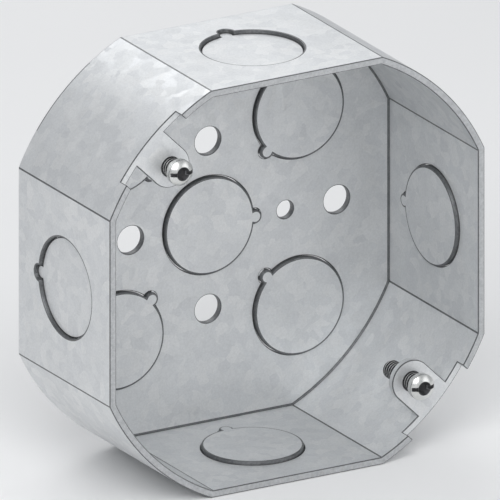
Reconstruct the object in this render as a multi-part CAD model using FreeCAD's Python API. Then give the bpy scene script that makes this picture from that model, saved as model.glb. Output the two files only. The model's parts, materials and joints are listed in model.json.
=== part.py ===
"""A drawn steel outlet box with nine knockouts and two cover screws, in millimetres.

The box is one sheet pressed into a cup: four flat sides joined by rounded corners, a flat back,
and two ears folded inward from the rim on one diagonal. It is built around its own centre line,
with the outside of the back at y = 0 and the open front towards -Y. At the end everything moves
so that the box stands on its bottom side, with the origin under the middle of its outline.
"""

import FreeCAD, Part
import math
import os

V = FreeCAD.Vector
X_AXIS = V(1, 0, 0)
Y_AXIS = V(0, 1, 0)
Z_AXIS = V(0, 0, 1)

# ---- the sheet-steel cup ----
sheet = 1.6                  # thickness of the steel
flat_reach = 46.2            # centre line to the outside of each flat side
corner_stand_out = 4.6       # how much further out the rounded corners are
inner_depth = 38.1           # open front to the inside of the back
bend_outside = 1.2           # rounding around the outside of the back
bend_inside = 0.4            # rounding around the inside of the back

# ---- knockouts: round slugs, each held by a half-round tie ----
knockout_radius = 11.1       # opening for half-inch conduit
tie_radius = 1.7             # half-round tie at the edge of each opening
tie_stand_out = 0.2          # edge of the opening to the centre of the tie
slug_gap = 0.15              # sheared gap around each slug
slug_set_in = 0.8            # how far each slug is pressed towards the inside
back_knockout_offset = 22.2  # corner knockouts in the back, along X and along Z

# ---- plain holes in the back ----
mounting_hole_radius = 3.175
mounting_hole_offset = 19.05
far_hole_offset = 31.75
ground_hole_radius = 2.02
ground_hole_offset = 19.05

# ---- the two folded ears and their screws ----
screw_inset = 7.15           # inside of the wall to each screw's axis
ear_tip_inset = 7.15         # inside of the wall to the middle of each ear's round tip
ear_width = 9.5
notch_width = 19.05          # gap cut in the rim around each ear
notch_depth = 2.6            # open front to the face of the ear
thread_radius = 2.08
thread_clearance = 0.07      # radial gap between the thread and its hole
thread_pitch = 0.794
thread_groove = 0.46         # depth of the thread
screw_length = 12.7          # under the head to the tip
head_radius = 2.9
head_rim = 1.3               # straight edge of the head
head_dome = 1.3              # rise of the dome above that edge
head_standoff = 3.2          # underside of the head to the face of the ear
slot_width = 1.0
slot_depth = 1.1
cross_length = 3.4           # cross recess in the middle of the slot
cross_depth = 1.5

corner_radius = flat_reach + corner_stand_out
screw_reach = corner_radius - sheet - screw_inset
ear_tip_reach = corner_radius - sheet - ear_tip_inset
tie_centre = knockout_radius + tie_stand_out
side_knockout_depth = inner_depth / 2
shell_depth = inner_depth + sheet
ear_face = notch_depth - shell_depth
head_front = ear_face - head_standoff - head_rim - head_dome
outline_front = min(head_front, -shell_depth)
to_standing = V(0, -outline_front / 2, flat_reach)

UPPER_LEFT = V(-math.sqrt(0.5), 0, math.sqrt(0.5))
LOWER_RIGHT = UPPER_LEFT * -1
EAR_DIRECTIONS = {"upper_left": UPPER_LEFT, "lower_right": LOWER_RIGHT}


def cup_outline(radius, reach, y):
    """Four straight sides at one reach, joined by arcs about the centre line, at depth y."""
    half = math.sqrt(radius ** 2 - reach ** 2)
    turn = math.sqrt(0.5) * radius
    edges = []
    for quarter in range(4):
        spin = FreeCAD.Rotation(Y_AXIS, -90 * quarter)
        side_start = spin.multVec(V(reach, y, -half))
        side_end = spin.multVec(V(reach, y, half))
        arc_middle = spin.multVec(V(turn, y, turn))
        arc_end = spin.multVec(V(half, y, reach))
        edges.append(Part.LineSegment(side_start, side_end).toShape())
        edges.append(Part.Arc(side_end, arc_middle, arc_end).toShape())
    return Part.Face(Part.Wire(edges))


def cup_block(radius, reach, y_from, y_to, bend):
    """A prism of the cup's outline, rounded around its edge at y_to."""
    block = cup_outline(radius, reach, y_from).extrude(V(0, y_to - y_from, 0))
    rim = [e for e in block.Edges if all(abs(v.Y - y_to) < 1e-6 for v in e.Vertexes)]
    return block.makeFillet(bend, rim)


def rod(radius, length, start, direction):
    return Part.makeCylinder(radius, length, start, direction)


def bar(width, height, length, start, direction, up):
    """A rectangular bar from start along direction, centred on it, height along up."""
    side = direction.cross(up)
    corner = start - side * (width / 2) - up * (height / 2)
    face = Part.Face(Part.makePolygon([
        corner,
        corner + side * width,
        corner + side * width + up * height,
        corner + up * height,
        corner,
    ]))
    return face.extrude(direction * length)


def knockout_places():
    """Each knockout's centre on the outside of the sheet, its inward normal and its tie's direction."""
    inward_from_back = Y_AXIS * -1
    places = {"back_center_slug": (V(0, 0, 0), inward_from_back, X_AXIS)}
    corners = {
        "upper_left": V(-1, 0, 1),
        "upper_right": V(1, 0, 1),
        "lower_left": V(-1, 0, -1),
        "lower_right": V(1, 0, -1),
    }
    for name, corner in corners.items():
        to_centre = corner * (-1 / corner.Length)
        places[f"back_{name}_slug"] = (corner * back_knockout_offset, inward_from_back, to_centre)
    sides = {"right": X_AXIS, "left": X_AXIS * -1, "top": Z_AXIS, "bottom": Z_AXIS * -1}
    for name, outward in sides.items():
        centre = outward * flat_reach + Y_AXIS * (side_knockout_depth - shell_depth)
        places[f"{name}_side_slug"] = (centre, outward * -1, Y_AXIS)
    return places


def knockout_block(centre, inward, tie, gap, lift, height):
    """A round block with its tie, standing on the sheet's outside plus lift."""
    base = centre + inward * lift
    disc = rod(knockout_radius - gap, height, base, inward)
    tab = rod(tie_radius - gap, height, base + tie * tie_centre, inward)
    return disc.fuse(tab).removeSplitter()


def ear_plate(direction):
    """The folded ear: parallel sides from the wall, and a round tip."""
    middle = V(0, ear_face + sheet / 2, 0) + direction * ear_tip_reach
    tongue = bar(ear_width, sheet, corner_radius - ear_tip_reach, middle, direction, Y_AXIS)
    tip = rod(ear_width / 2, sheet, middle - Y_AXIS * (sheet / 2), Y_AXIS)
    whole_cup = cup_outline(corner_radius, flat_reach, -shell_depth).extrude(Y_AXIS * shell_depth)
    return tongue.fuse(tip).common(whole_cup)


def rim_notch(direction):
    """The piece cut out of the rim where the ear is folded in."""
    start = direction * (screw_reach - ear_width / 2) + V(0, -shell_depth + notch_depth / 2, 0)
    return bar(notch_width, notch_depth, corner_radius, start, direction, Y_AXIS)


def make_shell():
    cup = cup_block(corner_radius, flat_reach, -shell_depth, 0, bend_outside)
    hollow = cup_block(
        corner_radius - sheet, flat_reach - sheet, -shell_depth, -sheet, bend_inside)
    shell = cup.cut(hollow)
    for direction in EAR_DIRECTIONS.values():
        shell = shell.cut(rim_notch(direction))
        shell = shell.fuse(ear_plate(direction))
        hole = direction * screw_reach + V(0, ear_face - sheet, 0)
        shell = shell.cut(rod(thread_radius + thread_clearance, 3 * sheet, hole, Y_AXIS))
    for centre, inward, tie in knockout_places().values():
        shell = shell.cut(knockout_block(centre, inward, tie, 0, -sheet, 3 * sheet))
    for place in (
        X_AXIS * -mounting_hole_offset,
        Z_AXIS * mounting_hole_offset,
        Z_AXIS * -mounting_hole_offset,
        X_AXIS * far_hole_offset,
    ):
        shell = shell.cut(rod(mounting_hole_radius, 3 * sheet, place - Y_AXIS * 2 * sheet, Y_AXIS))
    ground = X_AXIS * ground_hole_offset - Y_AXIS * 2 * sheet
    shell = shell.cut(rod(ground_hole_radius, 3 * sheet, ground, Y_AXIS))
    return shell.removeSplitter()


def make_slug(centre, inward, tie):
    return knockout_block(centre, inward, tie, slug_gap, slug_set_in, sheet)


def thread_profile():
    """The screw's half section from its tip to the top of its dome, as radius and distance."""
    points = [V(0, screw_length, 0)]
    root = thread_radius - thread_groove
    crest_flat = thread_pitch / 8
    turns = int((screw_length - thread_pitch) / thread_pitch)
    points.append(V(root, screw_length, 0))
    for turn in range(turns):
        foot = screw_length - turn * thread_pitch - crest_flat
        crest = foot - (thread_pitch - 2 * crest_flat) / 2
        points.append(V(root, foot, 0))
        points.append(V(thread_radius, crest, 0))
        points.append(V(thread_radius, crest - crest_flat, 0))
        points.append(V(root, foot - thread_pitch + crest_flat, 0))
    points.append(V(root, 0, 0))
    points.append(V(head_radius, 0, 0))
    points.append(V(head_radius, -head_rim, 0))
    return points


def make_screw(direction):
    """A machine screw with a domed head, a slot across it and a cross recess in its middle."""
    points = thread_profile()
    edges = [Part.LineSegment(a, b).toShape() for a, b in zip(points, points[1:])]
    dome_radius = (head_radius ** 2 + head_dome ** 2) / (2 * head_dome)
    half_angle = math.asin(head_radius / dome_radius) / 2
    dome_centre = -head_rim - head_dome + dome_radius
    dome_middle = V(
        dome_radius * math.sin(half_angle), dome_centre - dome_radius * math.cos(half_angle), 0)
    top = V(0, -head_rim - head_dome, 0)
    edges.append(Part.Arc(points[-1], dome_middle, top).toShape())
    edges.append(Part.LineSegment(top, points[0]).toShape())
    screw = Part.Face(Part.Wire(edges)).revolve(V(0, 0, 0), Y_AXIS, 360)
    slot_start = V(-head_radius, top.y + slot_depth / 2, 0)
    screw = screw.cut(bar(slot_width, slot_depth, 2 * head_radius, slot_start, X_AXIS, Y_AXIS))
    for across in (X_AXIS, Z_AXIS):
        start = across * (-cross_length / 2) + V(0, top.y + cross_depth / 2, 0)
        screw = screw.cut(bar(slot_width, cross_depth, cross_length, start, across, Y_AXIS))
    screw.translate(direction * screw_reach + V(0, ear_face - head_standoff, 0))
    return screw


def write(name, shape):
    shape.translate(to_standing)
    assert shape.isValid() and len(shape.Solids) == 1, name
    shape.Solids[0].exportStep(f"parts/{name}.step")
    box = shape.optimalBoundingBox()
    print(f"{name:28s} {shape.Volume:9.1f} mm3   "
          f"x {box.XMin:7.2f} {box.XMax:7.2f}   y {box.YMin:7.2f} {box.YMax:7.2f}   "
          f"z {box.ZMin:7.2f} {box.ZMax:7.2f}")


os.makedirs("parts", exist_ok=True)
write("box_shell", make_shell())
for slug_name, (slug_centre, slug_inward, slug_tie) in knockout_places().items():
    write(slug_name, make_slug(slug_centre, slug_inward, slug_tie))
for corner_name, ear_direction in EAR_DIRECTIONS.items():
    write(f"{corner_name}_cover_screw", make_screw(ear_direction))
print("origin to the outside of the back:", to_standing)
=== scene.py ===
# %% [markdown]
# # A pressed-steel outlet box in Blender
# An outlet box is one sheet of galvanised steel, pressed into a shallow cup with four flat sides and four
# rounded corners. Two ears are folded in from its rim and carry the cover screws. Nine round slugs are
# punched almost free, and an electrician knocks out the ones that are needed for cables.
# This lesson builds the shell, one slug and one screw by hand operations, and copies what repeats.
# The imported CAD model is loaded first, because every place and most sizes come from it.

# %% Load the frame and note the CAD box
import json
import math

import bmesh
import bpy
from mathutils import Matrix, Vector


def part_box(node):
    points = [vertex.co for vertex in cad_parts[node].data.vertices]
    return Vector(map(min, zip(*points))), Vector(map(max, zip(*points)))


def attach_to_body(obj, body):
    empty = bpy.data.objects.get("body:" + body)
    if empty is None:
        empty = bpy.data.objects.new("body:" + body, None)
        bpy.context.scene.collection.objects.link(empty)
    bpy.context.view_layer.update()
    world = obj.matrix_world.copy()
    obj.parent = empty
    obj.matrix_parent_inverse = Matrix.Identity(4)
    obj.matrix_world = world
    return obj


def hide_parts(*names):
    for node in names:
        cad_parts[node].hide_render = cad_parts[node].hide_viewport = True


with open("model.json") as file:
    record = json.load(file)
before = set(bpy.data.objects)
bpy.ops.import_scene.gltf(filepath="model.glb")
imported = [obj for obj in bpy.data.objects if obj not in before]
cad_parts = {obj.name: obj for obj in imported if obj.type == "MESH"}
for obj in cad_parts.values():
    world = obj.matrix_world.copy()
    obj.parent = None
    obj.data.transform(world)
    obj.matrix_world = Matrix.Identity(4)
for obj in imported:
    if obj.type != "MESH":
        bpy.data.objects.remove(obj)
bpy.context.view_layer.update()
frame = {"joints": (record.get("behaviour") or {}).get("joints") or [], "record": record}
record = frame["record"]
joint_of = {joint["child"]: joint for joint in frame["joints"]}
mount_of = {mount["name"]: mount for mount in record["mounts"]}

# %% [markdown]
# ## The sizes that matter
# The outside of the shell is read from its CAD node. A sheet-metal part has few other sizes: the thickness
# of the sheet, how far the corners bulge past the flats, and the sizes of what is punched and folded.
# They are named once here, in millimetres turned into Blender's metres.

# %% Read and name the sizes
MM = 0.001
shell_low, shell_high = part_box("box_shell")
FRONT = shell_low.y
BACK = shell_high.y
MID_HEIGHT = (shell_low.z + shell_high.z) / 2
flat_reach = (shell_high.x - shell_low.x) / 2
corner_stand_out = 4.6 * MM
corner_radius = flat_reach + corner_stand_out
sheet = 1.6 * MM
back_rounding = 1.2 * MM
inside_rounding = 0.4 * MM
notch_depth = 2.6 * MM
notch_width = 19.05 * MM
ear_width = 9.5 * MM
ear_tip_inset = 7.15 * MM
ear_tip_reach = corner_radius - sheet - ear_tip_inset
knockout_radius = 11.1 * MM
tie_radius = 1.7 * MM
slug_gap = 0.15 * MM
slug_set_in = 0.8 * MM
ear_face = FRONT + notch_depth
print(f"shell {2000 * flat_reach:.1f} mm across the flats")
print(f"shell {2000 * corner_radius:.1f} mm across the corners")

# %% [markdown]
# ## Hand tools
# Most steps are the ones a modeller does with the mouse: take one object, go into edit mode, pick some
# faces or edges, and use an operator on them. The first helpers take an object, add one and settle one. A
# finished piece has its place in its mesh, so `settle` moves the object's own place and turn into the mesh.
# Two small distances say when points count as being in the same place, and how near a bisect may snap.

# %% Helpers for taking, adding and settling
SAME_PLACE = 0.01 * MM
SNAP_REACH = 0.001 * MM


def take(piece):
    """Makes the piece the only selected object and the active one."""
    bpy.ops.object.select_all(action="DESELECT")
    piece.select_set(True)
    bpy.context.view_layer.objects.active = piece


def add(primitive, name, **sizes):
    """Adds a primitive with nothing else selected, and names it."""
    bpy.ops.object.select_all(action="DESELECT")
    primitive(**sizes)
    piece = bpy.context.object
    piece.name = name
    piece.data.name = name
    return piece


def settle(piece, place=None):
    """Puts the piece at a place, if one is given, and moves that place into its mesh."""
    if place is not None:
        piece.matrix_world = place
    take(piece)
    bpy.ops.object.transform_apply(location=True, rotation=True, scale=True)
    return piece


# %% [markdown]
# ## Picking parts of a mesh
# In edit mode, an operator acts on all that is selected. By hand, faces and edges are picked with the mouse.
# In code they are picked by their place or their direction, so every pick starts with nothing selected and
# is told a test. A frame is a place with its own directions, for pieces that don't stand upright.

# %% Helpers for editing, picking and turning
def pick(piece, kind, test):
    """In edit mode, selects only the faces or edges that pass the test, and says how many."""
    bpy.ops.mesh.select_mode(type={"faces": "FACE", "edges": "EDGE"}[kind])
    bpy.ops.mesh.select_all(action="DESELECT")
    mesh = bmesh.from_edit_mesh(piece.data)
    chosen = [item for item in getattr(mesh, kind) if test(item)]
    for item in chosen:
        item.select_set(True)
    bmesh.update_edit_mesh(piece.data)
    return len(chosen)


def edit(piece):
    take(piece)
    bpy.ops.object.mode_set(mode="EDIT")


def leave_edit():
    bpy.ops.object.mode_set(mode="OBJECT")


def edge_at(axis, value):
    """A test for edges whose two ends both lie at one value along an axis."""
    return lambda edge: all(abs(end.co[axis] - value) < SAME_PLACE for end in edge.verts)


def frame_of(x_axis, z_axis, origin):
    """The place whose own X and Z point along the two given directions."""
    y_axis = z_axis.cross(x_axis)
    turn = Matrix((x_axis, y_axis, z_axis)).transposed().to_4x4()
    return Matrix.Translation(origin) @ turn


# %% [markdown]
# ## Cutting and joining
# Punched holes are booleans: a tool shaped like the punch is taken away from the sheet. The exact solver
# is chosen because some of the tool's faces lie in the same plane as the sheet's. Tools that don't touch
# each other are joined first, so that one cut does the work of many.

# %% Helpers for booleans
def combine(piece, tool, operation):
    """Applies one boolean and removes the tool."""
    take(piece)
    step = piece.modifiers.new(operation.title(), "BOOLEAN")
    step.operation = operation
    step.solver = "EXACT"
    step.object = tool
    bpy.ops.object.modifier_apply(modifier=step.name)
    bpy.data.objects.remove(tool)


def gather(pieces, name):
    """Joins several objects into the first of them."""
    take(pieces[0])
    for piece in pieces[1:]:
        piece.select_set(True)
    bpy.ops.object.join()
    pieces[0].name = name
    return pieces[0]


# %% [markdown]
# ## Edges painted dark
# Dark lines are painted along the rounded edges, as painted shade that draws each edge. A bevel
# rounds such an edge, and can also say which material slot its new faces get. The third slot is kept for
# this painted edge shade on every piece. The slots stay empty until the finishes are made. Weighted normals
# then let the large flats decide the shading, so that they look flat right up to the rounding.

# %% Helpers for rounded edges and their painted shade
# The slot whose finish is painted shade: near-black lines along the rounded edges, the inside bends and the
# rings round the knockouts.
EDGE_SHADE_SLOT = 2


def add_slots(piece):
    """Gives a piece its empty material slots, so that a bevel can name one of them."""
    while len(piece.data.materials) <= EDGE_SHADE_SLOT:
        piece.data.materials.append(None)


def is_edge_to_round_and_paint(edge):
    """True for an outward corner, or for a slight bend either way, but not for a deep inside corner."""
    turn = math.degrees(edge.calc_face_angle(0))
    return turn > 20 and (edge.is_convex or turn < 40)


def shade(piece, keep_sharp):
    """Smooths the shading over small angles, and keeps the flats looking flat."""
    take(piece)
    bpy.ops.object.shade_smooth_by_angle(angle=math.radians(35))
    weighting = piece.modifiers.new("Flat faces first", "WEIGHTED_NORMAL")
    weighting.keep_sharp = keep_sharp
    bpy.ops.object.modifier_apply(modifier=weighting.name)


def soften(piece, width):
    """Rounds the picked edges, and gives their roundings the painted edge shade."""
    add_slots(piece)
    edit(piece)
    rounded_and_painted = pick(piece, "edges", is_edge_to_round_and_paint)
    bpy.ops.mesh.bevel(
        offset=width, segments=2, affect="EDGES", material=EDGE_SHADE_SLOT, clamp_overlap=False)
    leave_edit()
    shade(piece, keep_sharp=True)
    print(rounded_and_painted, "edges rounded")


# %% [markdown]
# ## The cup
# The press turns a flat blank into a cup. Here the cup starts as a cylinder, because its rounded corners
# are all arcs about one centre line. Four bisect cuts slice off the flats. The open front is inset by the
# thickness of the sheet, which leaves the rim, and the inset face is pushed to the back, which hollows it.
# The edge around the back gets the press's rounding, with a tighter one inside.

# %% Slice the flats and hollow the cup
def make_cup():
    cup = settle(add(
        bpy.ops.mesh.primitive_cylinder_add, "pressed_shell", vertices=240, radius=corner_radius,
        depth=BACK - FRONT, location=(0, (FRONT + BACK) / 2, MID_HEIGHT),
        rotation=(math.radians(90), 0, 0)))
    add_slots(cup)
    edit(cup)
    for side in (Vector((1, 0, 0)), Vector((-1, 0, 0)), Vector((0, 0, 1)), Vector((0, 0, -1))):
        bpy.ops.mesh.select_all(action="SELECT")
        bpy.ops.mesh.bisect(
            plane_co=side * flat_reach + Vector((0, 0, MID_HEIGHT)), plane_no=side,
            use_fill=True, clear_outer=True, threshold=SNAP_REACH)
    pick(cup, "faces", lambda face: face.normal.y < -0.9)
    bpy.ops.mesh.inset(thickness=sheet)
    bpy.ops.mesh.extrude_region_move(TRANSFORM_OT_translate={"value": (0, BACK - sheet - FRONT, 0)})
    outer = pick(cup, "edges", edge_at(1, BACK))
    bpy.ops.mesh.bevel(offset=back_rounding, segments=6, affect="EDGES")
    inner = pick(cup, "edges", edge_at(1, BACK - sheet))
    # The inside rounding takes the painted edge shade, painted shade in the inside bend.
    bpy.ops.mesh.bevel(offset=inside_rounding, segments=5, affect="EDGES", material=EDGE_SHADE_SLOT)
    leave_edit()
    print(f"cup: {outer} edges rounded outside, {inner} inside, {len(cup.data.polygons)} faces")
    return cup


shell = make_cup()

# %% [markdown]
# ## The ears
# Each ear is a tongue of the same sheet, cut from the rim and folded in. Its end is half a disc, so it
# starts as one: a circle is bisected, and the straight edge is drawn out to the wall. The tongue is made
# too tall on purpose. Then one block cuts the rim's notch and the spare height of the tongue together,
# which leaves the floor of the notch and the face of the ear in one plane, with no seam between them.

# %% Draw out the tongues, join them to the cup and cut the notches
UPPER_LEFT = Vector((-1, 0, 1)).normalized()
EARS = {"upper_left": UPPER_LEFT, "lower_right": -UPPER_LEFT}
INTO_BOX = Vector((0, 1, 0))
CENTRE_LINE = Vector((0, 0, MID_HEIGHT))


def make_tongue(outward):
    tongue = add(
        bpy.ops.mesh.primitive_circle_add, "tongue", vertices=64, radius=ear_width / 2,
        fill_type="NGON")
    edit(tongue)
    bpy.ops.mesh.select_all(action="SELECT")
    bpy.ops.mesh.bisect(plane_co=(0, 0, 0), plane_no=(1, 0, 0), clear_outer=True, threshold=SNAP_REACH)
    pick(tongue, "edges", edge_at(0, 0))
    to_mid_wall = corner_radius - sheet / 2 - ear_tip_reach
    bpy.ops.mesh.extrude_region_move(TRANSFORM_OT_translate={"value": (to_mid_wall, 0, 0)})
    bpy.ops.mesh.select_all(action="SELECT")
    spare = 2 * MM
    height = sheet + notch_depth + spare
    bpy.ops.mesh.extrude_region_move(TRANSFORM_OT_translate={"value": (0, 0, -height)})
    bpy.ops.mesh.select_all(action="SELECT")
    bpy.ops.mesh.normals_make_consistent(inside=False)
    leave_edit()
    back_of_ear = CENTRE_LINE + outward * ear_tip_reach + Vector((0, ear_face + sheet, 0))
    return settle(tongue, frame_of(outward, INTO_BOX, back_of_ear))


def make_notch_block(outward):
    past_wall = 2 * MM
    spare = 4 * MM
    start = ear_tip_reach - ear_width
    end = corner_radius + past_wall
    middle = CENTRE_LINE + outward * ((start + end) / 2)
    middle.y = ear_face - (notch_depth + spare) / 2
    block = add(
        bpy.ops.mesh.primitive_cube_add, "notch_block", size=1,
        scale=(end - start, notch_width, notch_depth + spare))
    settle(block)
    return settle(block, frame_of(outward, INTO_BOX, middle))


for outward in EARS.values():
    combine(shell, make_tongue(outward), "UNION")
for outward in EARS.values():
    combine(shell, make_notch_block(outward), "DIFFERENCE")
print("shell with ears:", len(shell.data.polygons), "faces")

# %% [markdown]
# ## Where the knockouts are
# The record says where each knockout's centre lies on the outside of the sheet and which way it faces. The
# slug's joint says where its tie bends. The tie's direction is the way from the one to the other, with
# the part across the sheet taken out. So the punch, the slug and the joint can't drift apart.

# %% Work out each knockout's own frame from the record
def knockout_frames():
    frames = {}
    for node, joint in joint_of.items():
        mount = mount_of.get(node.replace("slug", "knockout"))
        if mount is None:
            continue
        centre = Vector(mount["pos_m"])
        inward = -Vector(mount["axis"])
        to_pivot = Vector(joint["pos_m"]) - centre
        tie = to_pivot - inward * to_pivot.dot(inward)
        frames[node] = (frame_of(tie.normalized(), inward, centre), tie.length)
    return frames


KNOCKOUTS = knockout_frames()
tie_tip = max(length for place, length in KNOCKOUTS.values())
print(len(KNOCKOUTS), f"knockouts, each tie's tip {1000 * tie_tip:.2f} mm from its centre")

# %% [markdown]
# ## The punch
# One shape serves as the punch and, a hair smaller, as the slug: a disc with a half-round tie on its edge.
# Two cylinders are united, and the lines that the boolean leaves across the flat faces are dissolved.

# %% A disc with its tie
def make_disc_with_tie(name, trim, height):
    """The knockout's shape, smaller all round by the trim, standing on its own origin."""
    disc = add(
        bpy.ops.mesh.primitive_cylinder_add, name, vertices=96, radius=knockout_radius - trim,
        depth=height, location=(0, 0, height / 2))
    settle(disc)
    tie = add(
        bpy.ops.mesh.primitive_cylinder_add, "tie", vertices=32, radius=tie_radius - trim,
        depth=height, location=(tie_tip - tie_radius, 0, height / 2))
    settle(tie)
    combine(disc, tie, "UNION")
    edit(disc)
    bpy.ops.mesh.select_all(action="SELECT")
    bpy.ops.mesh.remove_doubles(threshold=SAME_PLACE)
    bpy.ops.mesh.dissolve_limited(angle_limit=math.radians(0.5))
    leave_edit()
    return disc


# %% [markdown]
# ## Punching the holes
# The back also has four plain mounting holes, a small ground-screw hole, and each ear has a hole for its
# screw. The mounting holes' places come from the record's bolt patterns, and the screws' places from
# their CAD nodes. All the punches are joined into one tool before the cut.

# %% Place every punch and cut once
def hole_punch(radius, place, length, vertices):
    """A round punch along the box's depth, with its middle at a place."""
    punch = add(
        bpy.ops.mesh.primitive_cylinder_add, "punch", vertices=vertices, radius=radius, depth=length)
    return settle(punch, frame_of(Vector((1, 0, 0)), INTO_BOX, place))


def pattern_holes(mount):
    """The centres of a bolt pattern's two holes."""
    centre = Vector(mount["pos_m"])
    sizes = mount["dims"]
    half_step = Vector((sizes.get("spacing_x_mm", 0), 0, sizes.get("spacing_y_mm", 0))) * (MM / 2)
    return [centre - half_step, centre + half_step]


def screw_middle(node):
    low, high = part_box(node)
    return (low + high) / 2


SCREWS = [node for node in joint_of if node.endswith("cover_screw")]
screw_hole_radius = 2.15 * MM
through_back = 4 * sheet
through_ear = 2 * sheet
punches = []
for place, length in KNOCKOUTS.values():
    punch = make_disc_with_tie("punch", trim=0, height=3 * sheet)
    punches.append(settle(punch, place @ Matrix.Translation((0, 0, -sheet))))
for pattern in ("mounting_holes_vertical", "mounting_holes_horizontal"):
    mount = mount_of[pattern]
    for place in pattern_holes(mount):
        radius = mount["dims"]["hole_r_mm"] * MM
        punches.append(hole_punch(radius, place, length=through_back, vertices=48))
ground = mount_of["ground_screw_hole"]
radius = ground["dims"]["r_mm"] * MM
punches.append(hole_punch(radius, Vector(ground["pos_m"]), length=through_back, vertices=40))
for node in SCREWS:
    place = screw_middle(node)
    place.y = ear_face + sheet / 2
    punches.append(hole_punch(screw_hole_radius, place, length=through_ear, vertices=40))
print(len(punches), "punches")
combine(shell, gather(punches, "punches"), "DIFFERENCE")
print("punched shell:", len(shell.data.polygons), "faces")

# %% [markdown]
# ## Taking the sharpness off
# No sheared edge is perfectly sharp. A rounding of a fifth of a millimetre is enough for the edge to show.
# It goes on outward corners and on the slight bends beside each flat side, but not into the deep inside
# corners of the notches and ears, and its faces take the painted edge shade. A narrow ring of the same
# painted shade is laid on the outside of the sheet around each knockout, as its dark outline. A bevel with
# a profile of 1 keeps its corner, so it adds that ring and leaves the shape alone. Very short edges that
# the booleans left are merged first, so that the bevels have room.

# %% Clean the shell, ring its knockouts and soften it
edge_softness = 0.2 * MM
painted_ring_width = 0.4 * MM
around_punch = 0.1 * MM
shortest_edge = 0.02 * MM


def is_punched_outline(edge):
    """True for an edge that a knockout's punch left on the outside of the sheet."""
    if math.degrees(edge.calc_face_angle(0)) < 60:
        return False
    for place, length in KNOCKOUTS.values():
        to_knockout = place.inverted()
        ends = [to_knockout @ end.co for end in edge.verts]
        on_outside = all(abs(end.z) < SAME_PLACE for end in ends)
        if on_outside and all(math.hypot(end.x, end.y) < length + around_punch for end in ends):
            return True
    return False


edit(shell)
bpy.ops.mesh.select_all(action="SELECT")
bpy.ops.mesh.remove_doubles(threshold=shortest_edge)
bpy.ops.mesh.dissolve_limited(angle_limit=math.radians(0.3), delimit={"NORMAL"})
add_slots(shell)
outlined = pick(shell, "edges", is_punched_outline)
# The ring round each knockout takes the painted edge shade, a dark outline of painted shade.
bpy.ops.mesh.bevel(
    offset=painted_ring_width, segments=2, profile=1, affect="EDGES", material=EDGE_SHADE_SLOT, clamp_overlap=False)
leave_edit()
print(outlined, "edges around the knockouts' outside")
soften(shell, edge_softness)
print("softened shell:", len(shell.data.polygons), "faces")

# %% [markdown]
# ## One slug, copied nine times
# The punch presses each slug half a sheet inward and shears it free all round, but for a thin web at the
# tie. The face that the punch pushes has a rolled edge, and the other a crisper one, so the two rims get
# different bevels, and both roundings take the painted edge shade. The inner face takes it too, then an
# inset leaves a ring of painted shade round its rim and sends its middle back to the first slot. A small
# bead at the tip of the tie is the web that bends.

# %% Model the slug
outer_roll = 0.24 * MM
inner_roll = 0.2 * MM
slug_shade_ring = 0.22 * MM
web_radius = 0.3 * MM
web_length = 1.1 * tie_radius


def give_selected(piece, slot):
    """In edit mode, puts the selected faces in one material slot."""
    piece.active_material_index = slot
    bpy.ops.object.material_slot_assign()


def make_slug():
    slug = make_disc_with_tie("slug_master", trim=slug_gap, height=sheet)
    add_slots(slug)
    edit(slug)
    pick(slug, "edges", edge_at(2, 0))
    # The slug's roundings and the ring on its inner face take the painted edge shade.
    bpy.ops.mesh.bevel(offset=outer_roll, segments=3, affect="EDGES", material=EDGE_SHADE_SLOT)
    pick(slug, "edges", edge_at(2, sheet))
    bpy.ops.mesh.bevel(offset=inner_roll, segments=2, affect="EDGES", material=EDGE_SHADE_SLOT)
    pick(slug, "faces", lambda face: face.calc_center_median().z > sheet - SNAP_REACH)
    give_selected(slug, EDGE_SHADE_SLOT)
    bpy.ops.mesh.inset(thickness=slug_shade_ring)
    give_selected(slug, 0)
    leave_edit()
    web = add(
        bpy.ops.mesh.primitive_cylinder_add, "web", vertices=20, radius=web_radius,
        depth=web_length, rotation=(math.radians(90), 0, 0))
    pivot_height = sheet - slug_set_in
    to_pivot = Matrix.Translation((tie_tip - web_radius / 2, 0, pivot_height - web_radius))
    settle(web, to_pivot @ web.matrix_world)
    combine(slug, web, "UNION")
    shade(slug, keep_sharp=False)
    return slug


slug_master = make_slug()
print("slug:", len(slug_master.data.polygons), "faces")

# %% [markdown]
# ## The tools for the screw's recess
# The head takes a flat or a cross-tipped screwdriver, so a slot runs right across it and a cross is sunk in
# the middle. Both are cut by bars that narrow towards their bottom, as a driver's tip does. A bar is a
# cube whose bottom face is made smaller in edit mode, and the slot and the cross differ only in its sizes.

# %% Measure the head and make a tapered bar
screw_low, screw_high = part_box("upper_left_cover_screw")
head_radius = (screw_high.x - screw_low.x) / 2
slot_width = 0.9 * MM
slot_depth = 1.1 * MM
cross_length = 3.4 * MM
cross_depth = 1.5 * MM
print(f"screw head {2000 * head_radius:.1f} mm across")


def tapered_bar(length, depth, bottom_length):
    """A bar of the slot's width, centred on the head's top, with its bottom a share of its size."""
    bottom_width = 0.75
    bar = add(bpy.ops.mesh.primitive_cube_add, "bar", size=1, scale=(length, slot_width, 2 * depth))
    settle(bar)
    edit(bar)
    pick(bar, "faces", lambda face: face.normal.z > 0.9)
    bpy.ops.transform.resize(value=(bottom_length, bottom_width, 1))
    leave_edit()
    return bar


# %% [markdown]
# ## The screw's head
# The head is a low dome on a short straight edge. It starts as a sphere whose radius gives the dome its
# rise, and a bisect keeps only the cap. The cap's rim is drawn down and closed. Then the slot, the two arms
# of the cross and a cone in the middle are cut, and the edges are rounded.

# %% Model the head
head_edge = 1.3 * MM
head_dome = 1.3 * MM
recess_radius = 2.65 * MM
head_softness = 0.1 * MM
dome_radius = (head_radius ** 2 + head_dome ** 2) / (2 * head_dome)


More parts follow.
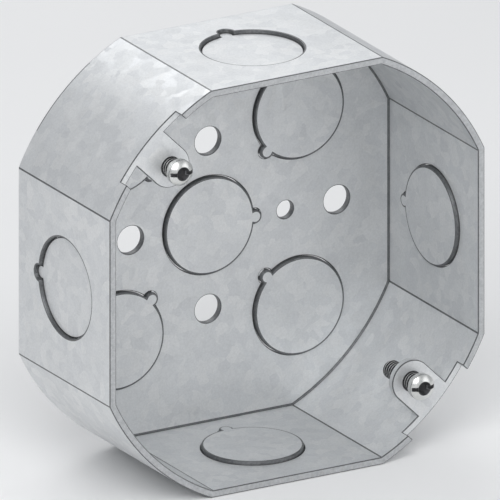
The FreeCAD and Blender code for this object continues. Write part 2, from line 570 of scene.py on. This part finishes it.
def make_head():
    top = -head_edge - head_dome
    head = add(
        bpy.ops.mesh.primitive_uv_sphere_add, "screw_head", segments=64, ring_count=60,
        radius=dome_radius, location=(0, 0, top + dome_radius))
    settle(head)
    edit(head)
    bpy.ops.mesh.select_all(action="SELECT")
    bpy.ops.mesh.bisect(
        plane_co=(0, 0, -head_edge), plane_no=(0, 0, 1), clear_outer=True, threshold=SNAP_REACH)
    pick(head, "edges", lambda edge: edge.is_boundary)
    bpy.ops.mesh.extrude_region_move(TRANSFORM_OT_translate={"value": (0, 0, head_edge)})
    bpy.ops.mesh.edge_face_add()
    bpy.ops.mesh.select_all(action="SELECT")
    bpy.ops.mesh.normals_make_consistent(inside=False)
    leave_edit()
    slot = tapered_bar(3 * head_radius, slot_depth, bottom_length=1)
    combine(head, settle(slot, Matrix.Translation((0, 0, top))), "DIFFERENCE")
    for turn in (0, 90):
        arm = tapered_bar(cross_length, cross_depth, bottom_length=0.35)
        place = Matrix.Translation((0, 0, top)) @ Matrix.Rotation(math.radians(turn), 4, "Z")
        combine(head, settle(arm, place), "DIFFERENCE")
    cone = add(
        bpy.ops.mesh.primitive_cone_add, "recess", vertices=24, radius1=recess_radius,
        radius2=0.3 * recess_radius, depth=2 * cross_depth)
    combine(head, settle(cone, Matrix.Translation((0, 0, top))), "DIFFERENCE")
    soften(head, head_softness)
    return head


head = make_head()
print("head:", len(head.data.polygons), "faces")

# %% [markdown]
# ## The screw's thread
# A thread is a small wedge wound around a core. One wedge is drawn as four points, and the Screw modifier
# carries it round and along by one pitch to a turn. The wedge starts a little inside the core, so that the
# two unite cleanly.

# %% Wind the thread
thread_radius = 2.08 * MM
thread_root = 1.62 * MM
thread_pitch = 0.794 * MM
screw_length = 12.7 * MM
thread_start = 0.7 * MM
thread_foot = 0.1 * MM
thread_base = 0.8 * thread_pitch
crest_share = 0.25


def make_thread():
    wedge = add(bpy.ops.mesh.primitive_plane_add, "thread", size=1)
    wedge.scale = (thread_radius - thread_root + thread_foot, thread_base, 1)
    wedge.rotation_euler = (math.radians(90), 0, 0)
    settle(wedge)
    edit(wedge)
    pick(wedge, "edges", lambda edge: all(end.co.x > 0 for end in edge.verts))
    bpy.ops.transform.resize(value=(1, 1, crest_share))
    bpy.ops.mesh.select_all(action="SELECT")
    bpy.ops.mesh.delete(type="ONLY_FACE")
    leave_edit()
    middle = (thread_radius + thread_root - thread_foot) / 2
    settle(wedge, Matrix.Translation((middle, 0, thread_start)))
    winding = wedge.modifiers.new("Winding", "SCREW")
    winding.axis = "Z"
    winding.steps = 36
    winding.render_steps = 36
    winding.iterations = int((screw_length - thread_start) / thread_pitch)
    winding.screw_offset = thread_pitch
    winding.use_merge_vertices = False
    take(wedge)
    bpy.ops.object.modifier_apply(modifier=winding.name)
    edit(wedge)
    bpy.ops.mesh.select_all(action="SELECT")
    bpy.ops.mesh.fill_holes(sides=4)
    bpy.ops.mesh.normals_make_consistent(inside=False)
    leave_edit()
    return wedge


# %% [markdown]
# ## The whole screw
# The thread is united with its core. A chamfered blank, a hair wider than the thread, is then intersected
# with both, which trims the last turns and points the tip, as on a real screw. The head is united with the
# shank last, and the tiny edges that the booleans leave are merged.

# %% Unite the core, the thread and the head
tip_chamfer = 0.75 * MM


def make_round_bar(name, radius, start, end):
    length = end - start
    bar = add(
        bpy.ops.mesh.primitive_cylinder_add, name, vertices=72, radius=radius, depth=length,
        location=(0, 0, start + length / 2))
    return settle(bar)


def make_screw():
    spare = 0.5 * MM
    hair = 0.01 * MM
    merge_distance = 0.004 * MM
    collapsed_edge = 0.002 * MM
    shank = make_round_bar("shank", thread_root, -2 * spare, screw_length + spare)
    combine(shank, make_thread(), "UNION")
    trimmer = make_round_bar("trimmer", thread_radius + hair, -spare, screw_length)
    edit(trimmer)
    pick(trimmer, "edges", edge_at(2, screw_length))
    bpy.ops.mesh.bevel(offset=tip_chamfer, segments=1, affect="EDGES")
    leave_edit()
    combine(shank, trimmer, "INTERSECT")
    take(shank)
    bpy.ops.object.shade_smooth_by_angle(angle=math.radians(25))
    combine(head, shank, "UNION")
    edit(head)
    bpy.ops.mesh.select_all(action="SELECT")
    bpy.ops.mesh.remove_doubles(threshold=merge_distance)
    bpy.ops.mesh.dissolve_degenerate(threshold=collapsed_edge)
    leave_edit()
    return head


screw_master = make_screw()
print("screw:", len(screw_master.data.polygons), "faces")

# %% [markdown]
# ## Copies in their places
# Each slug is a copy with its own mesh, put in its knockout's frame and raised by half a sheet. Each screw
# is a copy too, at the middle of its CAD node, with its slot level. Every piece then rides on its CAD
# body, and stands for its CAD node, which is hidden.

# %% Copy, place and attach the pieces
def copy_of(master, name, place):
    piece = master.copy()
    piece.data = master.data.copy()
    piece.name = name
    piece.data.name = name
    bpy.context.scene.collection.objects.link(piece)
    return settle(piece, place)


def attach(piece, body, node):
    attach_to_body(piece, body)
    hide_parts(node)


slugs = []
for node, (place, length) in KNOCKOUTS.items():
    raised = place @ Matrix.Translation((0, 0, slug_set_in))
    slug = copy_of(slug_master, node.replace("slug", "knockout_slug"), raised)
    attach(slug, node, node)
    slugs.append(slug)
screws = []
SCREW_PLACES = {}
for node in SCREWS:
    under_head = screw_middle(node)
    under_head.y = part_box(node)[1].y - screw_length
    screw = copy_of(screw_master, node + "_threaded", frame_of(Vector((1, 0, 0)), INTO_BOX, under_head))
    SCREW_PLACES[screw.name] = under_head
    attach(screw, node, node)
    screws.append(screw)
attach(shell, "box", "box_shell")
bpy.data.objects.remove(slug_master)
bpy.data.objects.remove(screw_master)
print(len(slugs), "slugs and", len(screws), "screws placed")

# %% [markdown]
# ## Wiring up a finish
# A finish is a tree of small nodes: textures make numbers, ramps turn the numbers into colours, and the
# shader takes both. Wiring nodes by hand is repetitive, so a few helpers make a new material, add a node
# with its settings, add a colour ramp with its stops, and let a number move the roughness.

# %% Helpers for building finishes
def new_material(name):
    material = bpy.data.materials.new(name)
    material.use_nodes = True
    tree = material.node_tree
    return material, tree, tree.nodes["Principled BSDF"]


def node(tree, kind, **settings):
    """Adds a node, and sets its sockets or properties by name."""
    made = tree.nodes.new(kind)
    for key, value in settings.items():
        if key in made.inputs:
            made.inputs[key].default_value = value
        else:
            setattr(made, key, value)
    return made


def ramp(tree, source, stops):
    """A colour ramp fed by source, with stops of (position, colour)."""
    made = tree.nodes.new("ShaderNodeValToRGB")
    elements = made.color_ramp.elements
    while len(elements) < len(stops):
        elements.new(0.5)
    for element, (position, colour) in zip(elements, stops):
        element.position = position
        element.color = (*colour, 1)
    tree.links.new(source, made.inputs["Fac"])
    return made


def grey(value):
    return (value, value, value)


def add_shine(tree, shader, source, shine_range):
    """Lets a number from 0 to 1 move the roughness from the first value to the second."""
    shine = node(tree, "ShaderNodeMapRange")
    shine.inputs["To Min"].default_value = shine_range[0]
    shine.inputs["To Max"].default_value = shine_range[1]
    tree.links.new(source, shine.inputs["Value"])
    tree.links.new(shine.outputs["Result"], shader.inputs["Roughness"])


# %% [markdown]
# ## The zinc's crystals
# Hot-dip zinc freezes in crystals, called spangle, a few millimetres across. Each reflects a little
# differently, so the pattern changes the colour and the roughness only slightly. Cells of a Voronoi
# texture are the crystals, pushed about by noise so that their edges wander, and each gets its own random
# numbers. Object coordinates run straight on from the shell into the slugs, as they do in one sheet.

# %% Build the crystals
def add_crystals(tree, place):
    """Returns the pushed coordinates, and a node that gives each crystal three random numbers."""
    link = tree.links.new
    wander_distance = 1.6 * MM
    wander = node(tree, "ShaderNodeTexNoise", Scale=520.0, Detail=3.0)
    link(place, wander.inputs["Vector"])
    push = node(tree, "ShaderNodeVectorMath", operation="MULTIPLY_ADD")
    push.inputs[1].default_value = (wander_distance, wander_distance, wander_distance)
    link(wander.outputs["Color"], push.inputs[0])
    link(place, push.inputs[2])
    crystals = node(tree, "ShaderNodeTexVoronoi", Scale=420.0)
    link(push.outputs["Vector"], crystals.inputs["Vector"])
    numbers = node(tree, "ShaderNodeSeparateColor")
    link(crystals.outputs["Color"], numbers.inputs["Color"])
    return push.outputs["Vector"], numbers


# %% [markdown]
# ## The zinc's colour
# Each crystal has its own pale tint. Clouds of slight dulling run across the whole sheet, as zinc weathers
# unevenly. Fine feathers and frost break up the surface inside each crystal. The three are multiplied, so
# that each only darkens the others a little.

# %% Build the tint, the clouds and the frost
def multiply(tree, first, second):
    both = node(tree, "ShaderNodeMix", data_type="RGBA", blend_type="MULTIPLY")
    both.inputs["Factor"].default_value = 1.0
    tree.links.new(first, both.inputs["A"])
    tree.links.new(second, both.inputs["B"])
    return both.outputs["Result"]


def add_zinc_colour(tree, place, pushed, numbers):
    link = tree.links.new
    tint = ramp(tree, numbers.outputs["Red"], [
        (0.0, (0.70, 0.715, 0.73)), (0.5, (0.735, 0.75, 0.76)), (1.0, (0.78, 0.79, 0.795))])
    cloud = node(tree, "ShaderNodeTexNoise", Scale=38.0, Detail=5.0, Roughness=0.6)
    link(place, cloud.inputs["Vector"])
    dulling = ramp(tree, cloud.outputs["Fac"], [(0.3, grey(0.93)), (0.7, grey(1.0))])
    feathers = node(tree, "ShaderNodeTexVoronoi", Scale=1900.0)
    link(pushed, feathers.inputs["Vector"])
    frost = node(tree, "ShaderNodeTexNoise", Scale=3000.0, Detail=3.0, Roughness=0.7)
    link(place, frost.inputs["Vector"])
    feather_share = 0.5
    inside = node(tree, "ShaderNodeMath", operation="MULTIPLY_ADD")
    inside.inputs[1].default_value = feather_share
    link(feathers.outputs["Distance"], inside.inputs[0])
    link(frost.outputs["Fac"], inside.inputs[2])
    speckle = ramp(tree, inside.outputs["Value"], [(0.45, grey(1.0)), (1.0, grey(0.90))])
    dulled = multiply(tree, tint.outputs["Color"], dulling.outputs["Color"])
    return multiply(tree, dulled, speckle.outputs["Color"])


# %% [markdown]
# ## The zinc's relief
# The press draws the sheet over its tools from the back of the box to the rim, which leaves long thin
# marks along the depth. They are noise, stretched along Y. Finer noise is the grain. The crystals also
# stand at very slightly different heights, so a second, weaker bump follows their numbers.

# %% Build the drawing marks, the grain and the facets
def add_zinc_relief(tree, place, numbers):
    link = tree.links.new
    stretch = node(tree, "ShaderNodeMapping")
    stretch.inputs["Scale"].default_value = (900.0, 60.0, 900.0)
    link(place, stretch.inputs["Vector"])
    marks = node(tree, "ShaderNodeTexNoise", Scale=1.0, Detail=4.0)
    link(stretch.outputs["Vector"], marks.inputs["Vector"])
    grain = node(tree, "ShaderNodeTexNoise", Scale=2600.0, Detail=2.0)
    link(place, grain.inputs["Vector"])
    relief = node(tree, "ShaderNodeMath", operation="ADD")
    link(marks.outputs["Fac"], relief.inputs[0])
    link(grain.outputs["Fac"], relief.inputs[1])
    bump = node(tree, "ShaderNodeBump", Strength=0.3, Distance=0.04 * MM)
    link(relief.outputs["Value"], bump.inputs["Height"])
    facets = node(tree, "ShaderNodeBump", Strength=0.08, Distance=0.2 * MM)
    link(numbers.outputs["Blue"], facets.inputs["Height"])
    link(bump.outputs["Normal"], facets.inputs["Normal"])
    return facets.outputs["Normal"]


# %% [markdown]
# ## Galvanised steel
# The crystals, the colour, the shine and the relief come together in one shader. Zinc dulls as soon as it
# meets the air, so it is only partly metallic, and is never as bright as a mirror.

# %% Put the galvanised finish together
def make_galvanised():
    material, tree, shader = new_material("galvanised_sheet")
    place = node(tree, "ShaderNodeTexCoord").outputs["Object"]
    pushed, numbers = add_crystals(tree, place)
    colour = add_zinc_colour(tree, place, pushed, numbers)
    tree.links.new(colour, shader.inputs["Base Color"])
    add_shine(tree, shader, numbers.outputs["Green"], shine_range=(0.36, 0.54))
    relief = add_zinc_relief(tree, place, numbers)
    tree.links.new(relief, shader.inputs["Normal"])
    shader.inputs["Metallic"].default_value = 0.6
    return material


galvanised = make_galvanised()
print("galvanised finish:", len(galvanised.node_tree.nodes), "nodes")

# %% [markdown]
# ## Sheared steel, plated steel and painted shade
# Where the sheet is trimmed along its rim, bare steel shows in a slightly darker grey. The walls of the
# punched holes are painted darker still, as painted shade in the narrow gaps. The rounded edges and the
# bends are painted near black, as lines of painted shade. The screws have a brighter zinc plating, and
# their recess and the grooves between the turns of thread are painted near black as painted shade. These
# finishes differ in tone, shine and the scale of their noise, so one function makes them all.

# %% Build the other finishes
def make_steel(name, dark, light, shine_range, scale, bump_distance, metallic):
    """A steel with patches of two tones, a roughness that follows them and a fine bump."""
    material, tree, shader = new_material(name)
    link = tree.links.new
    place = node(tree, "ShaderNodeTexCoord")
    patches = node(tree, "ShaderNodeTexNoise", Scale=scale, Detail=4.0, Roughness=0.65)
    link(place.outputs["Object"], patches.inputs["Vector"])
    tone = ramp(tree, patches.outputs["Fac"], [(0.3, dark), (0.7, light)])
    link(tone.outputs["Color"], shader.inputs["Base Color"])
    add_shine(tree, shader, patches.outputs["Fac"], shine_range)
    fine = node(tree, "ShaderNodeTexNoise", Scale=4 * scale, Detail=2.0)
    link(place.outputs["Object"], fine.inputs["Vector"])
    bump = node(tree, "ShaderNodeBump", Strength=0.35, Distance=bump_distance)
    link(fine.outputs["Fac"], bump.inputs["Height"])
    link(bump.outputs["Normal"], shader.inputs["Normal"])
    shader.inputs["Metallic"].default_value = metallic
    return material


sheared = make_steel(
    "sheared_steel", dark=(0.40, 0.41, 0.42), light=(0.56, 0.57, 0.58), shine_range=(0.35, 0.6),
    scale=1500.0, bump_distance=0.04 * MM, metallic=0.7)
# Near-black painted shade, laid on the rounded edges, the inside bends and the rings round the knockouts.
edge_shade_paint = make_steel(
    "burnished_edge", dark=(0.10, 0.105, 0.11), light=(0.17, 0.175, 0.18), shine_range=(0.25, 0.45),
    scale=900.0, bump_distance=0.02 * MM, metallic=0.6)
# Painted shade for the walls of the punched holes and the slugs' sides, in the narrow gaps.
punched = make_steel(
    "punched_wall", dark=(0.12, 0.125, 0.13), light=(0.24, 0.245, 0.25), shine_range=(0.35, 0.6),
    scale=1500.0, bump_distance=0.04 * MM, metallic=0.6)
plated = make_steel(
    "zinc_plated_screw", dark=(0.62, 0.63, 0.62), light=(0.78, 0.78, 0.76), shine_range=(0.2, 0.38),
    scale=500.0, bump_distance=0.02 * MM, metallic=0.9)
# Near-black painted shade for the screws' recess and the grooves between the turns of their thread.
painted_hollow_shade = make_steel(
    "screw_hollows", dark=(0.018, 0.018, 0.02), light=(0.06, 0.06, 0.062), shine_range=(0.5, 0.8),
    scale=900.0, bump_distance=0.03 * MM, metallic=0.3)
print("other finishes:", ", ".join(steel.name for steel in (sheared, edge_shade_paint, punched, plated, painted_hollow_shade)))

# %% [markdown]
# ## Which faces of the shell are bare, and which are painted with shade
# The trimmed rim faces forward, and lies in front of the ears. The walls of the punched holes run from one
# side of the sheet to the other, so they lie within its thickness and face sideways, and they are painted
# with the shade of the narrow gaps. Both are found by their place and direction. A hair keeps the rule
# clear of the faces of the sheet itself.

# %% The rule for the shell's finishes
def between(value, low, high):
    return low < value < high


def shell_finish(face):
    """The finish of a face of the shell: 1 on the trimmed rim, 3 (painted shade) on a punched wall, 0
    elsewhere.
    """
    hair = 0.05 * MM
    clear_of_bends = 4 * MM
    square_on = 0.9
    sideways = 0.3
    place = face.center - Vector((0, 0, MID_HEIGHT))
    facing = face.normal
    if facing.y < -square_on and place.y < ear_face - hair:
        return 1
    if between(place.y, BACK - sheet + hair, BACK - hair):
        near_middle = max(abs(place.x), abs(place.z)) < flat_reach - clear_of_bends
        # Finish 3 is the painted shade of a hole's wall.
        return 3 if near_middle and abs(facing.y) < sideways else 0
    along_side = between(place.y, FRONT + clear_of_bends, BACK - clear_of_bends)
    for axis, across in ((0, 2), (2, 0)):
        in_sheet = between(abs(place[axis]), flat_reach - sheet + hair, flat_reach - hair)
        near_knockout = along_side and abs(place[across]) < tie_tip
        if in_sheet and near_knockout and abs(facing[axis]) < sideways:
            return 3
    return 0


# %% [markdown]
# ## Which faces of the slugs and screws get painted shade
# A slug's sheared side takes the same painted shade as the walls of its hole. On a screw, the faces that
# lie deeper than the dome or the thread's crests are painted near black as shade, so each face's place is
# compared with the sphere of the dome or with the axis.

# %% The rules for the slugs and the screws
def is_slug_side(face, place):
    """True for a face around a slug's edge, seen in the knockout's own frame."""
    sideways = 0.3
    return abs((place.to_3x3().inverted() @ face.normal).z) < sideways


def is_painted_shade(face, under_head):
    """True for a face inside the recess, or between two turns of the thread: the faces painted near black as
    shade.
    """
    below_head = 0.3 * MM
    below_crest = 0.14 * MM
    below_surface = 0.12 * MM
    hair = 0.1 * MM
    place = face.center - under_head
    from_axis = math.hypot(place.x, place.z)
    if place.y > below_head:
        return from_axis < thread_radius - below_crest
    from_dome_middle = (place - Vector((0, dome_radius - head_edge - head_dome, 0))).length
    below_dome = from_dome_middle < dome_radius - below_surface
    return below_dome and from_axis < head_radius - hair and place.y < -hair


# %% [markdown]
# ## Giving each face its finish
# Each piece gets its list of finishes, and a rule says which one each face takes. The rounded edges and
# the rings already have the painted edge shade, because they were given its slot as they were made.

# %% Assign the finishes
def give(piece, finishes, index_of):
    """Sets the piece's finishes, and each face's finish by a rule, unless it has the painted edge shade
    already.
    """
    chosen = [face.material_index for face in piece.data.polygons]
    piece.data.materials.clear()
    for finish in finishes:
        piece.data.materials.append(finish)
    for face, index in zip(piece.data.polygons, chosen):
        face.material_index = index if index == EDGE_SHADE_SLOT else index_of(face)
    counts = [0] * len(finishes)
    for face in piece.data.polygons:
        counts[face.material_index] += 1
    return counts


print("shell:", give(shell, [galvanised, sheared, edge_shade_paint, punched], shell_finish))
for slug in slugs:
    place = KNOCKOUTS[slug.name.replace("knockout_", "")][0]
    counts = give(slug, [galvanised, punched, edge_shade_paint], lambda face: is_slug_side(face, place))
print("each slug:", counts)
for screw in screws:
    under_head = SCREW_PLACES[screw.name]
    counts = give(screw, [plated, painted_hollow_shade, edge_shade_paint], lambda face: is_painted_shade(face, under_head))
print("each screw:", counts)

# %% [markdown]
# ## The floor
# The box stands on a pale, matt floor with faint clouds in its tone. The floor is part of the stage and
# not of the box. It lies a hair under the box, so that the two never flicker.

# %% Lay the floor
def make_floor():
    under_box = -0.05 * MM
    floor = add(bpy.ops.mesh.primitive_plane_add, "floor", size=3, location=(0, 0, under_box))
    settle(floor)
    material, tree, shader = new_material("pale_floor")
    place = node(tree, "ShaderNodeTexCoord")
    cloud = node(tree, "ShaderNodeTexNoise", Scale=6.0, Detail=3.0)
    tree.links.new(place.outputs["Object"], cloud.inputs["Vector"])
    tone = ramp(tree, cloud.outputs["Fac"], [(0.3, grey(0.86)), (0.7, grey(0.90))])
    tree.links.new(tone.outputs["Color"], shader.inputs["Base Color"])
    shader.inputs["Roughness"].default_value = 0.7
    floor.data.materials.append(material)
    return floor


floor = make_floor()
print("floor:", [round(side, 2) for side in floor.dimensions[:2]], "m")

# %% [markdown]
# ## The lights
# Steel shows what it reflects, so it is lit by large soft panels and a pale world, and not by small lamps.
# The key panel stands high on the left and in front, a weaker one fills from the right, and one behind
# picks out the top. The Standard view keeps the pale floor pale.

# %% Hang the light panels
def add_panel(name, direction, distance, size, power):
    """A square light panel that faces the middle of the box."""
    middle = (shell_low + shell_high) / 2
    light = bpy.data.lights.new(name, "AREA")
    light.shape = "SQUARE"
    light.size = size
    light.energy = power
    panel = bpy.data.objects.new(name, light)
    towards = Vector(direction).normalized()
    panel.location = middle + towards * distance
    panel.rotation_mode = "QUATERNION"
    panel.rotation_quaternion = towards.to_track_quat("Z", "Y")
    bpy.context.scene.collection.objects.link(panel)
    print(f"{name}: {power} W, {distance} m away")


add_panel("key_panel", (-0.75, -1.0, 1.15), distance=0.6, size=0.4, power=2.0)
add_panel("fill_panel", (1.0, -1.0, 0.5), distance=0.7, size=0.5, power=0.8)
add_panel("back_panel", (0.2, 1.0, 1.0), distance=0.7, size=0.5, power=1.2)
world = bpy.data.worlds.new("studio")
world.use_nodes = True
background = world.node_tree.nodes["Background"]
background.inputs["Color"].default_value = (0.95, 0.97, 1.0, 1)
background.inputs["Strength"].default_value = 0.5
bpy.context.scene.world = world
bpy.context.scene.view_settings.view_transform = "Standard"

# %% [markdown]
# ## The camera
# The camera has no perspective, so edges that are parallel stay parallel. It looks into the open front
# from the left and from above. Its aim is given from the middle of the rim, a little to the left and up,
# so that the deep side of the box is in the frame as well.

# %% Set the camera
azimuth = math.radians(-30.05)
elevation = math.radians(19.93)
view_width = 106.67 * MM
aim_left = 10.09 * MM
aim_up = 5.87 * MM
camera_distance = 0.5
to_camera = Vector((
    math.sin(azimuth) * math.cos(elevation),
    -math.cos(azimuth) * math.cos(elevation),
    math.sin(elevation)))
turn = to_camera.to_track_quat("Z", "Y")
camera_right = turn @ Vector((1, 0, 0))
camera_up = turn @ Vector((0, 1, 0))
rim_centre = Vector((0, FRONT, MID_HEIGHT))
aim = rim_centre - camera_right * aim_left + camera_up * aim_up
camera_data = bpy.data.cameras.new("camera")
camera_data.type = "ORTHO"
camera_data.ortho_scale = view_width
camera_data.clip_start = 0.01
camera_data.clip_end = 10
camera = bpy.data.objects.new("camera", camera_data)
camera.location = aim + to_camera * camera_distance
camera.rotation_mode = "QUATERNION"
camera.rotation_quaternion = turn
bpy.context.scene.collection.objects.link(camera)
bpy.context.scene.camera = camera
print(f"camera sees {1000 * view_width:.1f} mm across")
